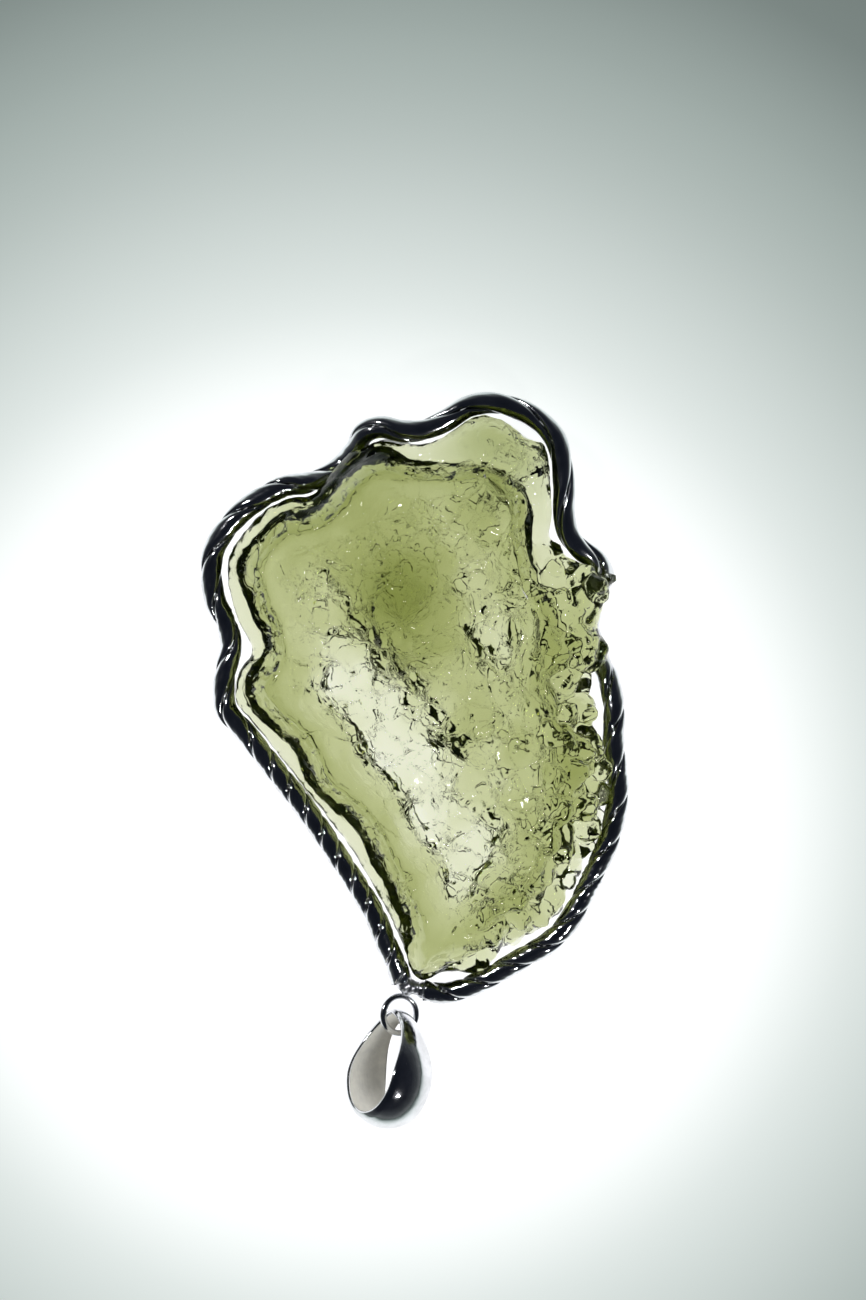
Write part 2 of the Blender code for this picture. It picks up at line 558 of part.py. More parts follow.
def bail_axes():
    """Along the bail from its point, across its loop, and along the hole through it."""
    lean_x, lean_y = BAIL_LEAN_DIRECTION
    sideways = math.sin(BAIL_LEAN)
    hole = Vector((sideways * lean_x, sideways * lean_y, math.cos(BAIL_LEAN))).normalized()
    along_x, along_y = BAIL_DIRECTION
    along = Vector((along_x, along_y, -(along_x * hole.x + along_y * hole.y) / hole.z)).normalized()
    return along, hole.cross(along), hole


def bail_profile(share):
    """A point of the drop outline, as distance from its point and distance across."""
    angle = 2 * math.pi * share
    along = BAIL_LENGTH * (1 - math.cos(angle)) / 2
    across = BAIL_HALF_DEPTH / BAIL_WIDEST * math.sin(angle) * abs(math.sin(angle / 2)) ** BAIL_BLUNTNESS
    return along, across


def bail_section(along):
    """Points round the band's section: place along the hole, then depth in from the rims' outline."""
    widening = float(eased(along / BAIL_WIDENS_OVER))
    half = (BAIL_WIDTH_AT_POINT + (BAIL_WIDTH - BAIL_WIDTH_AT_POINT) * widening) / 2
    crown = BAIL_CROWN * half / (BAIL_WIDTH / 2)
    outer = [(half * place, -crown * (1 - place * place)) for place in (-1.0, -0.5, 0.0, 0.5, 1.0)]
    inner = [(half * place, BAIL_WALL - crown * (1 - place * place)) for place in (1.0, 0.0, -1.0)]
    return outer + inner


def make_bail(finish):
    along_axis, across_axis, hole_axis = bail_axes()
    shape = bmesh.new()
    rings = []
    for segment in range(BAIL_SEGMENTS):
        share = (segment + 0.5) / BAIL_SEGMENTS
        along, across = bail_profile(share)
        next_along, next_across = bail_profile(share + BAIL_STEP)
        tangent = Vector((next_along - along, next_across - across)).normalized()
        inward = Vector((tangent.y, -tangent.x))
        ring = []
        for place, depth in bail_section(along):
            point = Vector(BAIL_POINT) + hole_axis * place
            point += along_axis * (along + inward.x * depth) + across_axis * (across + inward.y * depth)
            ring.append(shape.verts.new(point))
        rings.append(ring)
    bridge_rings(shape, rings, closed=True)
    made = object_from_bmesh("bail", shape, finish, origin=RING_HANG_POINT)
    made.data.shade_smooth()
    return made


def main():
    for old in list(bpy.data.objects):
        bpy.data.objects.remove(old)
    glass = material("moldavite glass", (0.36, 0.42, 0.17), 0.08, 0.0, transmission=1.0, ior=1.49)
    silver = material("polished silver", (0.72, 0.72, 0.74), 0.18, 1.0)
    tarnished = material("worn silver", (0.62, 0.61, 0.58), 0.3, 1.0)
    route = frame_route()
    make_stone(route, glass)
    make_strand("frame_strand_a", route, 0.0, silver)
    make_strand("frame_strand_b", route, math.pi, silver)
    make_solder(silver)
    make_ring(silver)
    make_bail(tarnished)


main()
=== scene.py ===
"""Looks of a moldavite pendant: a clear green stone, its twisted silver frame, solder, ring and bail.

Everything is in metres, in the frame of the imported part. Sizes in the tables below are in millimetres.
"""

import math

import bmesh
import bpy
import numpy as np
from mathutils import Matrix, Vector, noise
from mathutils.bvhtree import BVHTree


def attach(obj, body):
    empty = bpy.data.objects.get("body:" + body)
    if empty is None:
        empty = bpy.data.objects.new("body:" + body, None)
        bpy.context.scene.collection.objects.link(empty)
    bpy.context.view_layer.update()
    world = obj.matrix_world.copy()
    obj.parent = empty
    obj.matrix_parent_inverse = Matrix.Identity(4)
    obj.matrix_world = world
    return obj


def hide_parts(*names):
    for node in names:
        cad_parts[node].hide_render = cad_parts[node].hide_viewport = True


bl_info = {
    "name": "Moldavite pendant",
    "version": (1, 0, 0),
    "blender": (4, 5, 0),
    "location": "View3D > Sidebar > Pendant",
    "description": "Builds the looks of a moldavite pendant round its packed solids",
    "category": "Add Mesh",
}

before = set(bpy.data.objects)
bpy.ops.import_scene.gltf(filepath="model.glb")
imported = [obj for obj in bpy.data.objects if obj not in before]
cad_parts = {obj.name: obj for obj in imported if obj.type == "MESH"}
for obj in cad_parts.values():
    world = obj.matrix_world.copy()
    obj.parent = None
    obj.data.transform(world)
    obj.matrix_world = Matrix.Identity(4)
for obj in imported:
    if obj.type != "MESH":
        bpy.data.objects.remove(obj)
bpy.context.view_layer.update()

MM = 0.001
# More millimetres than anything here is away from anything else.
FAR = 1e6
SHIFT = np.array((0.06, 0.1, 0.0))

# One pixel of the photograph in millimetres, and the pixel that X = Y = 0 falls on before the shift.
PIXEL = 0.07
PIXEL_ORIGIN = (415.5, 760.0)

# Frame of two wires: the same route and twist as the solids.
FRAME_ROUTE = (
    (-1.0, -15.55, 2.45), (-1.35, -14.5, 2.8), (-2.1, -12.8, 3.4), (-3.05, -10.5, 3.7), (-5.15, -7.15, 3.9),
    (-7.45, -3.75, 3.9), (-9.95, -0.55, 3.8), (-12.1, 2.15, 3.8), (-13.2, 3.4, 3.7), (-13.45, 4.9, 3.7),
    (-13.25, 6.4, 3.7), (-12.9, 8.0, 3.7), (-13.3, 9.7, 3.7), (-14.0, 11.1, 3.7), (-14.3, 13.0, 3.7),
    (-14.1, 14.7, 3.8), (-13.2, 16.2, 4.0), (-11.6, 17.8, 4.1), (-9.3, 19.1, 4.0), (-7.6, 19.4, 3.5),
    (-6.3, 19.9, 2.6), (-5.1, 20.8, 2.3), (-4.3, 21.8, 2.8), (-3.6, 22.9, 3.6), (-2.4, 23.3, 4.0),
    (-0.9, 23.0, 4.1), (0.6, 23.1, 4.0), (2.2, 23.8, 3.9), (3.6, 24.7, 3.8), (5.2, 25.0, 3.7),
    (6.8, 24.7, 3.7), (8.4, 23.9, 3.8), (9.7, 22.6, 3.9), (10.2, 21.0, 3.9), (10.4, 19.0, 3.9),
    (10.4, 17.2, 3.9), (10.7, 15.8, 3.9), (11.5, 14.8, 3.8), (12.7, 13.9, 3.2), (13.2, 12.8, 2.2),
    (12.5, 11.2, 1.2), (12.3, 9.2, 1.1), (12.8, 7.4, 1.8), (13.5, 5.8, 3.0), (13.9, 3.7, 3.7),
    (13.85, 1.7, 3.8), (14.0, -0.1, 3.8), (14.2, -1.9, 3.7), (14.0, -3.7, 3.7), (13.5, -5.7, 3.7),
    (12.7, -7.5, 3.7), (11.7, -9.6, 3.6), (10.6, -11.5, 3.6), (9.2, -12.9, 3.5), (7.8, -13.7, 3.4),
    (6.3, -14.6, 3.3), (4.9, -15.4, 3.1), (3.3, -16.1, 2.9), (1.9, -16.4, 2.6), (0.6, -16.25, 2.45),
)
TWIST_PITCH = (
    (0.0, 3.9), (0.16, 3.9), (0.2, 7.5), (0.38, 7.0), (0.45, 12.0), (0.62, 12.0), (0.67, 7.0), (0.85, 5.4),
    (1.0, 5.0),
)
TWIST_START = 0.6
STRAND_SECTION = (
    (0.03, -0.5), (0.22, -0.7), (0.6, -0.52), (0.79, 0.0), (0.6, 0.52), (0.22, 0.7), (0.03, 0.5),
)
STRAND_SIDES = 28
STATION_STEP = 0.2
STRAND_PLACES = 900
# Places where pliers or a file have marked the wires: x, y, reach, depth.
TOOL_MARKS = (
    (-14.0, 9.6, 0.9, 0.13), (12.3, -8.9, 1.1, 0.13), (-9.3, 19.3, 0.7, 0.08), (-6.6, -3.0, 0.8, 0.08),
    (14.2, -1.0, 0.7, 0.06),
)
MARK_SPACING = 0.34
MARK_UNEVENNESS = 1.5

# Marks in the stone's top, by their place in the photograph. Pits: column, row, half width and half length in
# pixels, turn in degrees, and then depth and raised lip in millimetres.
STONE_PITS = (
    (334.5, 626, 10.5, 8, 0, 0.17, 0.07), (440, 509, 19, 17, 10, 0.22, 0.05),
    (455, 541, 23, 20, -15, 0.22, 0.05), (478, 571, 30, 26, 20, 0.25, 0.06),
    (501, 642, 11, 31, -6, 0.33, 0.06), (530, 628, 20, 15, 0, 0.22, 0.04),
    (446, 601, 6, 4, 0, 0.11, 0.05), (332, 680, 20, 18, 0, 0.17, 0.05),
    (386, 760, 14, 15, 0, 0.19, 0.06), (425, 822, 28, 23, -8, 0.41, 0.08),
    (462, 806, 13, 12, 0, 0.19, 0.06), (465, 832, 14, 13, 0, 0.22, 0.06),
    (500, 856, 4, 4, 0, 0.11, 0.03), (455, 890, 13, 17, -10, 0.19, 0.05),
    (409, 880, 9, 12, 15, 0.25, 0.03), (410, 905, 8, 9, 0, 0.22, 0.03),
    (360, 640, 25, 20, 30, 0.17, 0.03), (355, 700, 22, 26, -20, 0.19, 0.04),
    (395, 700, 22, 24, 10, 0.19, 0.04), (345, 745, 20, 17, 0, 0.17, 0.04),
    (420, 735, 24, 22, 0, 0.22, 0.04), (450, 705, 16, 22, 10, 0.19, 0.04),
    (300, 690, 17, 22, 20, 0.17, 0.03), (300, 630, 20, 16, 0, 0.17, 0.03),
    (395, 800, 15, 17, 0, 0.17, 0.04), (440, 780, 18, 14, 0, 0.19, 0.04),
    (490, 745, 17, 20, 0, 0.22, 0.05), (520, 720, 18, 24, 15, 0.22, 0.05),
    (500, 790, 18, 18, 0, 0.19, 0.05), (530, 770, 15, 22, 0, 0.22, 0.05),
    (510, 825, 18, 15, 0, 0.19, 0.05), (540, 810, 12, 18, 0, 0.19, 0.05),
    (495, 885, 17, 14, 20, 0.22, 0.06), (525, 865, 15, 15, 0, 0.22, 0.06),
    (440, 925, 15, 14, 0, 0.19, 0.06), (470, 915, 14, 13, 0, 0.19, 0.06),
    (385, 500, 20, 17, 0, 0.19, 0.04), (345, 540, 16, 12, -20, 0.17, 0.03),
    (400, 540, 22, 20, 0, 0.19, 0.04), (420, 575, 18, 14, 0, 0.17, 0.04),
    (520, 590, 16, 14, 0, 0.22, 0.05), (495, 520, 15, 16, 0, 0.19, 0.05),
)
# Grooves and ridges: pixels along them, half width, then depth (a ridge where it is less than nothing).
STONE_LINES = (
    (((313, 553), (320, 560), (332, 565), (345, 568)), 0.16, 0.2),
    (((262, 588), (290, 585), (320, 590), (350, 600)), 0.1, 0.09),
    (((258, 595), (290, 592), (318, 598), (345, 607)), 0.1, 0.09),
    (((262, 603), (288, 600), (312, 606), (330, 612)), 0.1, 0.09),
    (((256, 610), (280, 608), (300, 613)), 0.1, 0.08),
    (((292, 600), (286, 612), (284, 626), (292, 640)), 0.12, 0.12),
    (((283, 655), (287, 668), (292, 680), (297, 690)), 0.12, 0.12),
    (((325, 655), (336, 662), (345, 670), (350, 685), (351, 700)), 0.2, 0.2),
    (((441, 597), (447, 600), (451, 605)), 0.12, 0.15),
    (((496, 677), (487, 688), (476, 700), (467, 710), (469, 720), (464, 738), (452, 750), (445, 757),
      (442, 775)), 0.3, -0.15),
    (((375, 620), (388, 640), (400, 650), (420, 662), (440, 668), (452, 678), (460, 690)), 0.35, -0.15),
    (((460, 880), (465, 892), (468, 905)), 0.12, 0.15),
    (((405, 660), (412, 690), (405, 720)), 0.25, -0.1), (((370, 720), (385, 735), (400, 745)), 0.25, -0.1),
)

# The lip round a pit: where it is highest and how wide it is, as shares of the pit.
PIT_LIP_REACH = 1.05
PIT_LIP_WIDTH = 0.16

# Evening out of the stone's fine mesh: rounds for its facets, rounds for its middle, and how far each round
# moves a point towards its neighbours. For the facets each second round moves it back, so that the stone
# doesn't shrink.
FACET_ROUNDS = 12
MIDDLE_ROUNDS = 110
EVENING_STEP = 0.6
EVENING_BACK = -0.57

# Distances from the middle of the frame's wires, each with the width of the change there: where the smooth
# middle begins, where the step ends, and where the outlines of the scallops begin.
MIDDLE_BEGINS = (4.2, 1.6)
STEP_ENDS = (3.6, 1.3)
OUTLINES_BEGIN = (3.3, 1.2)
FRAME_PLACES = 300

# The stone's upper right corner, which keeps its relief: x, y, reach.
CORNER_LOBE = (6.6, 20.6, 2.6)
# Where the stone is broken, the right edge and then the lower right: the x that it begins at and the width of
# the change there, then the y that it ends at and the width of that change.
BROKEN_PLACES = ((7.5, 3.5, 15, 2), (1.5, 3.5, -7, 3.5))
# Lumps of the broken places: size and height, then size and height of the grain on them.
BROKEN_LUMPS = (1.1, 0.35)
BROKEN_GRAIN = (0.35, 0.04)

# Bowls in the stone's two faces: size of a cell, depth in the top, depth in the underside.
WIDE_BOWLS = (2.6, 0.5, 0.5)
SMALL_BOWLS = (1.3, 0.25, 0.22)
BOWL_REACH = 0.8
# How far the pattern of bowls is bent, over patches of what size, and how much flatter it is than the stone.
BOWL_BEND = 0.5
SMALL_BOWL_BEND = 0.2
BEND_SIZE = 1.6
BOWL_STRETCH = (1.0, 1.0, 0.25)
# Patches of the top that have small bowls: size, how much of the top they take, and how sharply they end.
BOWL_PATCHES = (3.2, 0.5, 0.9)
# Soft waves, each as size, layer of the pattern, height.
RIPPLES = ((0.55, 1.0, 0.03), (1.7, 3.0, 0.25))
# The jagged skin of the step: size and height, and how much flatter it is than the stone.
JAGGED_SKIN = (0.75, 0.1)
JAGGED_STRETCH = (1.0, 1.0, 0.5)
# How far the skin has to turn up or down to count as a face and not as a side, and over what change.
FACING_FROM = 0.05
FACING_OVER = 0.5

# How much of the relief the step takes away. Then how relief and marks fade in thin glass: the thickness that
# has none, the thickness over which they grow, and the least share.
RELIEF_LOST_ON_STEP = 0.88
RELIEF_IN_THIN_GLASS = (1.0, 3.5, 0.1)
MARKS_IN_THIN_GLASS = (0.8, 2.5, 0.2)
# The thickness is felt for from this far under the skin, and is taken as this where nothing is met.
UNDER_SKIN = 0.02
THICKNESS_UNKNOWN = 1.0
# Relief fades towards the table below this height, and the flat foot itself lies below the second one.
RELIEF_FREE_HEIGHT = 0.5
FOOT_HEIGHT = 0.02

# Name of the stone's mesh attribute that says how scalloped each place is, and its least value.
SCALLOPED = "scalloped"
LEAST_SCALLOPED = 0.12
# Bumps in the glass's skin: size and height.
BROAD_BUMPS = (0.8, 0.01)
FINE_BUMPS = (0.2, 0.002)
POCKS = (0.7, 0.006)
POCK_REACH = 0.16
# Outlines of the scallops: size of a cell, width of the line as a share of it, depth. Then how far they are
# bent, over patches of what size.
SCALLOP_OUTLINES = (1.9, 0.1, 0.12)
OUTLINE_BEND = 1.1
OUTLINE_BEND_SIZE = 1.3

# Finishes of the silver: least and greatest roughness, then depth and size of the scratches.
WIRE_FINISH = (0.06, 0.15, 0.003, 0.25)
RING_FINISH = (0.08, 0.22, 0.006, 0.2)
SOLDER_FINISH = (0.2, 0.4, 0.012, 0.3)
BAIL_FINISH = (0.06, 0.16, 0.004, 0.3)
BAIL_INSIDE_FINISH = (0.5, 0.7, 0.02, 0.18)
# Patches of gloss in the silver, its dents as size and depth, and how dark its dullest places are.
GLOSS_PATCH_SIZE = 1.6
DENTS = (1.1, 0.03)
TARNISHED = 0.8

# Ring, solder and bail: the same sizes as the solids.
RING_HANG_POINT = (-1.12, -19.3, 2.12)
RING_RADIUS = 1.32
RING_WIRE_RADIUS = 0.24
RING_TILT = math.radians(28)
RING_SEGMENTS = 96
RING_SIDES = 20
# Drops that ran together into the bead of solder: x, y, z, radius.
SOLDER_DROPS = (
    (-0.75, -15.8, 2.4, 0.62), (-0.35, -16.0, 2.35, 0.55), (0.1, -16.1, 2.35, 0.5), (0.5, -16.2, 2.4, 0.6),
    (-0.6, -16.3, 2.25, 0.38), (-1.05, -15.3, 2.55, 0.6),
)
SOLDER_VOXEL = 0.05
SOLDER_WAVE_SIZE = 0.4
SOLDER_WAVE_HEIGHT = 0.06
BAIL_LENGTH = 7.75
BAIL_HALF_DEPTH = 2.6
BAIL_BLUNTNESS = 0.3
BAIL_WIDEST = 0.93
BAIL_STEP = 1e-4
BAIL_WALL = 0.33
BAIL_WIDTH_AT_POINT = 1.5
BAIL_WIDTH = 3.7
BAIL_WIDENS_OVER = 5.0
BAIL_CROWN = 0.55
BAIL_POINT = (-1.12, -17.8, 1.97)
BAIL_LEAN = math.radians(50)
BAIL_LEAN_DIRECTION = (-0.93, 0.367)
BAIL_DIRECTION = (-0.16, -0.987)
BAIL_SEGMENTS = 144
# Places across the band's outside, round each rim and across its inside, with the corners between them.
BAIL_OUTER_PLACES = 21
BAIL_RIM_PLACES = 7
BAIL_INNER_PLACES = 15

# Camera: straight down, as the photograph was taken.
CAMERA_MIDDLE = (1.285, 7.8)
CAMERA_HEIGHT = 256.5
CAMERA_LENS = 100.0

# Table: its radius, how far its top lies below the pendant, and the middle and reach of the light in it.
TABLE_RADIUS = 1200.0
TABLE_GAP = 0.03
GLOW_MIDDLE = (-3.9, -3.85)
GLOW_REACH = 120.0


def at_pixel(column, row):
    """The place on the table, in millimetres, under a pixel of the photograph."""
    return (column - PIXEL_ORIGIN[0]) * PIXEL, (PIXEL_ORIGIN[1] - row) * PIXEL


def smooth_route(points, closed, steps=16):
    """A Catmull-Rom curve through the points, in short steps."""
    points = np.array(points, float)
    if closed:
        padded = np.concatenate([points[-1:], points, points[:2]])
    else:
        padded = np.concatenate([2 * points[:1] - points[1:2], points, 2 * points[-1:] - points[-2:-1]])
    along = np.linspace(0, 1, steps, endpoint=False)[:, None]
    pieces = []
    for span in range(len(padded) - 3):
        before, start, end, after = padded[span:span + 4]
        pieces.append(
            0.5 * (2 * start + (end - before) * along
                   + (2 * before - 5 * start + 4 * end - after) * along**2
                   + (3 * start - before - 3 * end + after) * along**3)
        )
    if not closed:
        pieces.append(points[-1:])
    return np.concatenate(pieces)


def evenly_spaced(route, count, closed):
    """The route again, as points at equal distances along it."""
    if closed:
        route = np.concatenate([route, route[:1]])
    lengths = np.r_[0, np.cumsum(np.linalg.norm(np.diff(route, axis=0), axis=1))]
    wanted = np.linspace(0, lengths[-1], count, endpoint=not closed)
    return np.stack([np.interp(wanted, lengths, route[:, axis]) for axis in range(route.shape[1])], axis=1)


def eased(share):
    share = np.clip(share, 0, 1)
    return share * share * (3 - 2 * share)


def piece_from_grid(name, rows, closed_rows, materials, capped=False):
    """A mesh from rows of points round it, in millimetres; each row is a closed loop."""
    rows = np.asarray(rows, float) + SHIFT
    count, sides = rows.shape[:2]
    shape = bmesh.new()
    verts = [[shape.verts.new(point * MM) for point in row] for row in rows]
    for index in range(count if closed_rows else count - 1):
        first, second = verts[index], verts[(index + 1) % count]
        for side in range(sides):
            after = (side + 1) % sides
            shape.faces.new([first[side], first[after], second[after], second[side]])
    if capped:
        shape.faces.new(verts[0][::-1])
        shape.faces.new(verts[-1])
    bmesh.ops.recalc_face_normals(shape, faces=shape.faces)
    return piece_from_shape(name, shape, materials)


def piece_from_shape(name, shape, materials):
    mesh = bpy.data.meshes.new(name)
    shape.to_mesh(mesh)
    shape.free()
    return piece_from_mesh(name, mesh, materials)


def piece_from_mesh(name, mesh, materials):
    mesh.shade_smooth()
    mesh.materials.clear()
    for made in materials:
        mesh.materials.append(made)
    piece = bpy.data.objects.new(name, mesh)
    bpy.context.scene.collection.objects.link(piece)
    return piece


def node_tree(material):
    material.use_nodes = True
    tree = material.node_tree
    return tree, tree.nodes["Principled BSDF"]


def add_node(tree, kind, inputs=(), **settings):
    made = tree.nodes.new(kind)
    for name, value in settings.items():
        setattr(made, name, value)
    for name, value in inputs:
        if isinstance(value, bpy.types.NodeSocket):
            tree.links.new(value, made.inputs[name])
        else:
            made.inputs[name].default_value = value
    return made


def per_metre(size):
    """Texture scale for a pattern whose features are about size millimetres."""
    return 1000.0 / size


def add_bump(tree, height, depth, below=None, **settings):
    """A bump of some millimetres, on top of the bump below it."""
    inputs = [("Height", height), ("Strength", 1.0), ("Distance", depth * MM)]
    if below:
        inputs.append(("Normal", below.outputs["Normal"]))
    return add_node(tree, "ShaderNodeBump", inputs, **settings)


def set_stops(ramp_node, stops):
    """Gives a colour ramp its places and colours."""
    ramp = ramp_node.color_ramp.elements
    while len(ramp) < len(stops):
        ramp.new(0.5)
    for element, (position, colour) in zip(ramp, stops):
        element.position = position
        element.color = (*colour, 1)


def moldavite_glass(settings):
    """Clear bottle-green glass: plain transmission and absorption, with a fine uneven skin."""
    made = bpy.data.materials.new("moldavite glass")
    tree, shader = node_tree(made)
    shader.inputs["Base Color"].default_value = (1, 1, 1, 1)
    shader.inputs["Transmission Weight"].default_value = 1.0
    shader.inputs["IOR"].default_value = settings.ior
    shader.inputs["Roughness"].default_value = settings.roughness
    place = add_node(tree, "ShaderNodeTexCoord").outputs["Object"]
    broad_size, broad_height = BROAD_BUMPS
    fine_size, fine_height = FINE_BUMPS
    pock_size, pock_height = POCKS
    cell_size, line_width, line_depth = SCALLOP_OUTLINES
    broad = add_node(tree, "ShaderNodeTexNoise", [
        ("Vector", place), ("Scale", per_metre(broad_size)), ("Detail", 4.0), ("Roughness", 0.55),
        ("Distortion", 0.6)])
    fine = add_node(tree, "ShaderNodeTexNoise", [
        ("Vector", place), ("Scale", per_metre(fine_size)), ("Detail", 3.0), ("Roughness", 0.6)])
    specks = add_node(tree, "ShaderNodeTexVoronoi", [("Vector", place), ("Scale", per_metre(pock_size))])
    pock = add_node(tree, "ShaderNodeMapRange", [
        ("Value", specks.outputs["Distance"]), ("From Min", 0.0), ("From Max", POCK_REACH),
        ("To Min", 0.0), ("To Max", 1.0)])
    first = add_bump(tree, broad.outputs["Fac"], broad_height)
    second = add_bump(tree, fine.outputs["Fac"], fine_height, first)
    third = add_bump(tree, pock.outputs["Result"], pock_height, second)
    bend = add_node(tree, "ShaderNodeTexNoise", [
        ("Vector", place), ("Scale", per_metre(OUTLINE_BEND_SIZE)), ("Detail", 2.0), ("Roughness", 0.5)])
    shift = add_node(tree, "ShaderNodeVectorMath", [
        (0, bend.outputs["Color"]), (1, (OUTLINE_BEND * MM, OUTLINE_BEND * MM, 0.0))], operation="MULTIPLY")
    bent = add_node(tree, "ShaderNodeVectorMath", [(0, place), (1, shift.outputs["Vector"])], operation="ADD")
    rims = add_node(tree, "ShaderNodeTexVoronoi", [
        ("Vector", bent.outputs["Vector"]), ("Scale", per_metre(cell_size))], feature="DISTANCE_TO_EDGE")
    line = add_node(tree, "ShaderNodeMapRange", [
        ("Value", rims.outputs["Distance"]), ("From Min", 0.0), ("From Max", line_width),
        ("To Min", 1.0), ("To Max", 0.0)], interpolation_type="SMOOTHSTEP")
    worn = add_node(tree, "ShaderNodeMapRange", [
        ("Value", broad.outputs["Fac"]), ("From Min", 0.4), ("From Max", 0.6),
        ("To Min", 0.1), ("To Max", 1.0)])
    scalloped = add_node(tree, "ShaderNodeAttribute", attribute_name=SCALLOPED)
    share = add_node(tree, "ShaderNodeMath", [
        (0, scalloped.outputs["Fac"]), (1, worn.outputs["Result"])], operation="MULTIPLY")
    outline = add_node(tree, "ShaderNodeMath", [
        (0, line.outputs["Result"]), (1, share.outputs["Value"])], operation="MULTIPLY")
    fourth = add_bump(tree, outline.outputs["Value"], line_depth, third, invert=True)
    tree.links.new(fourth.outputs["Normal"], shader.inputs["Normal"])
    volume = add_node(tree, "ShaderNodeVolumeAbsorption")
    volume.inputs["Color"].default_value = (*settings.colour, 1)
    volume.inputs["Density"].default_value = settings.density
    output = tree.nodes["Material Output"]
    tree.links.new(volume.outputs["Volume"], output.inputs["Volume"])
    return made


def silver(name, colour, finish):
    """Worn polished silver: its gloss varies in patches, and fine scratches run through it."""
    low, high, scratch_depth, scratch_size = finish
    dent_size, dent_depth = DENTS
    made = bpy.data.materials.new(name)
    tree, shader = node_tree(made)
    shader.inputs["Metallic"].default_value = 1.0
    place = add_node(tree, "ShaderNodeTexCoord").outputs["Object"]
    patches = add_node(tree, "ShaderNodeTexNoise", [
        ("Vector", place), ("Scale", per_metre(GLOSS_PATCH_SIZE)), ("Detail", 4.0), ("Roughness", 0.6)])
    gloss = add_node(tree, "ShaderNodeMapRange", [
        ("Value", patches.outputs["Fac"]), ("From Min", 0.3), ("From Max", 0.7),
        ("To Min", low), ("To Max", high)])
    tree.links.new(gloss.outputs["Result"], shader.inputs["Roughness"])
    tint = add_node(tree, "ShaderNodeValToRGB", [("Fac", patches.outputs["Fac"])])
    set_stops(tint, ((0.35, [part * TARNISHED for part in colour]), (0.6, colour)))
    tree.links.new(tint.outputs["Color"], shader.inputs["Base Color"])
    stretched = add_node(tree, "ShaderNodeMapping", [("Vector", place), ("Scale", (1.0, 0.18, 1.0))])
    scratches = add_node(tree, "ShaderNodeTexNoise", [
        ("Vector", stretched.outputs["Vector"]), ("Scale", per_metre(scratch_size)), ("Detail", 3.0),
        ("Roughness", 0.7)])
    dents = add_node(tree, "ShaderNodeTexNoise", [
        ("Vector", place), ("Scale", per_metre(dent_size)), ("Detail", 1.0)])
    first = add_bump(tree, dents.outputs["Fac"], dent_depth)
    second = add_bump(tree, scratches.outputs["Fac"], scratch_depth, first)
    tree.links.new(second.outputs["Normal"], shader.inputs["Normal"])
    return made


def noise_at(points, size, layer):
    """Smooth variation between about -1 and 1 over patches of the given size; each layer has its own."""
    scaled = points / size + (0.0, 0.0, layer)
    return np.array([noise.noise(place) for place in scaled])


def nearest_cell(points, size, layer):
    """Distance to the nearest centre of a cell pattern, in cell sizes."""
    scaled = points / size + (0.0, 0.0, layer)
    return np.array([noise.voronoi(place)[0][0] for place in scaled])


def evened(points, edges, rounds, share, second):
    """Moves points towards their neighbours, by the second amount in each second round."""
    count = np.bincount(edges.ravel(), minlength=len(points))[:, None]
    for index in range(rounds):
        total = np.zeros_like(points)
        for axis in range(3):
            total[:, axis] = (np.bincount(edges[:, 0], points[edges[:, 1], axis], len(points))
                              + np.bincount(edges[:, 1], points[edges[:, 0], axis], len(points)))
        pull = (total / count - points) * (EVENING_STEP if index % 2 == 0 else second)
        points = points + pull * share[:, None]
    return points


def mesh_points(mesh):
    points = np.empty(len(mesh.vertices) * 3, np.float32)
    mesh.vertices.foreach_get("co", points)
    return points.reshape(-1, 3).astype(float)


def set_points(mesh, points):
    mesh.vertices.foreach_set("co", (points * MM).astype(np.float32).ravel())


def mesh_normals(mesh):
    normals = np.empty(len(mesh.vertices) * 3, np.float32)
    mesh.vertices.foreach_get("normal", normals)
    return normals.reshape(-1, 3).astype(float)


def even_skin(source, voxel):
    """A copy of a solid with an even, fine mesh."""
    mesh = source.data.copy()
    weld = bmesh.new()
    weld.from_mesh(mesh)
    bmesh.ops.remove_doubles(weld, verts=weld.verts, dist=0.001 * MM)
    weld.to_mesh(mesh)
    weld.free()
    rough = bpy.data.objects.new("rough skin", mesh)
    bpy.context.scene.collection.objects.link(rough)
    remesh = rough.modifiers.new("even skin", "REMESH")
    remesh.mode = "VOXEL"
    remesh.voxel_size = voxel * MM
    remesh.adaptivity = 0.0
    graph = bpy.context.evaluated_depsgraph_get()
    fine = bpy.data.meshes.new_from_object(rough.evaluated_get(graph))
    bpy.data.objects.remove(rough)
    return fine


def pits_at(x, y):
    """Depth of the pits that the photograph shows, less the lips round them."""
    depth = np.zeros_like(x)
    for column, row, half_width, half_length, turn, deepest, lip in STONE_PITS:
        centre_x, centre_y = at_pixel(column, row)
        angle = math.radians(turn)
        across = (x - centre_x) * math.cos(angle) + (y - centre_y) * math.sin(angle)
        along = (y - centre_y) * math.cos(angle) - (x - centre_x) * math.sin(angle)
        reach = np.hypot(across / (half_width * PIXEL), along / (half_length * PIXEL))
        raised = np.exp(-(((reach - PIT_LIP_REACH) / PIT_LIP_WIDTH) ** 2))
        depth += deepest * np.clip(1 - reach**2, 0, 1) - lip * raised
    return depth


def distance_to_line(x, y, pixels):
    corners = [at_pixel(*pixel) for pixel in pixels]
    nearest = np.full_like(x, FAR)
    for (from_x, from_y), (to_x, to_y) in zip(corners, corners[1:]):
        step_x, step_y = to_x - from_x, to_y - from_y
        share = ((x - from_x) * step_x + (y - from_y) * step_y) / (step_x**2 + step_y**2)
        share = np.clip(share, 0, 1)
        nearest = np.minimum(nearest, np.hypot(x - from_x - share * step_x, y - from_y - share * step_y))
    return nearest


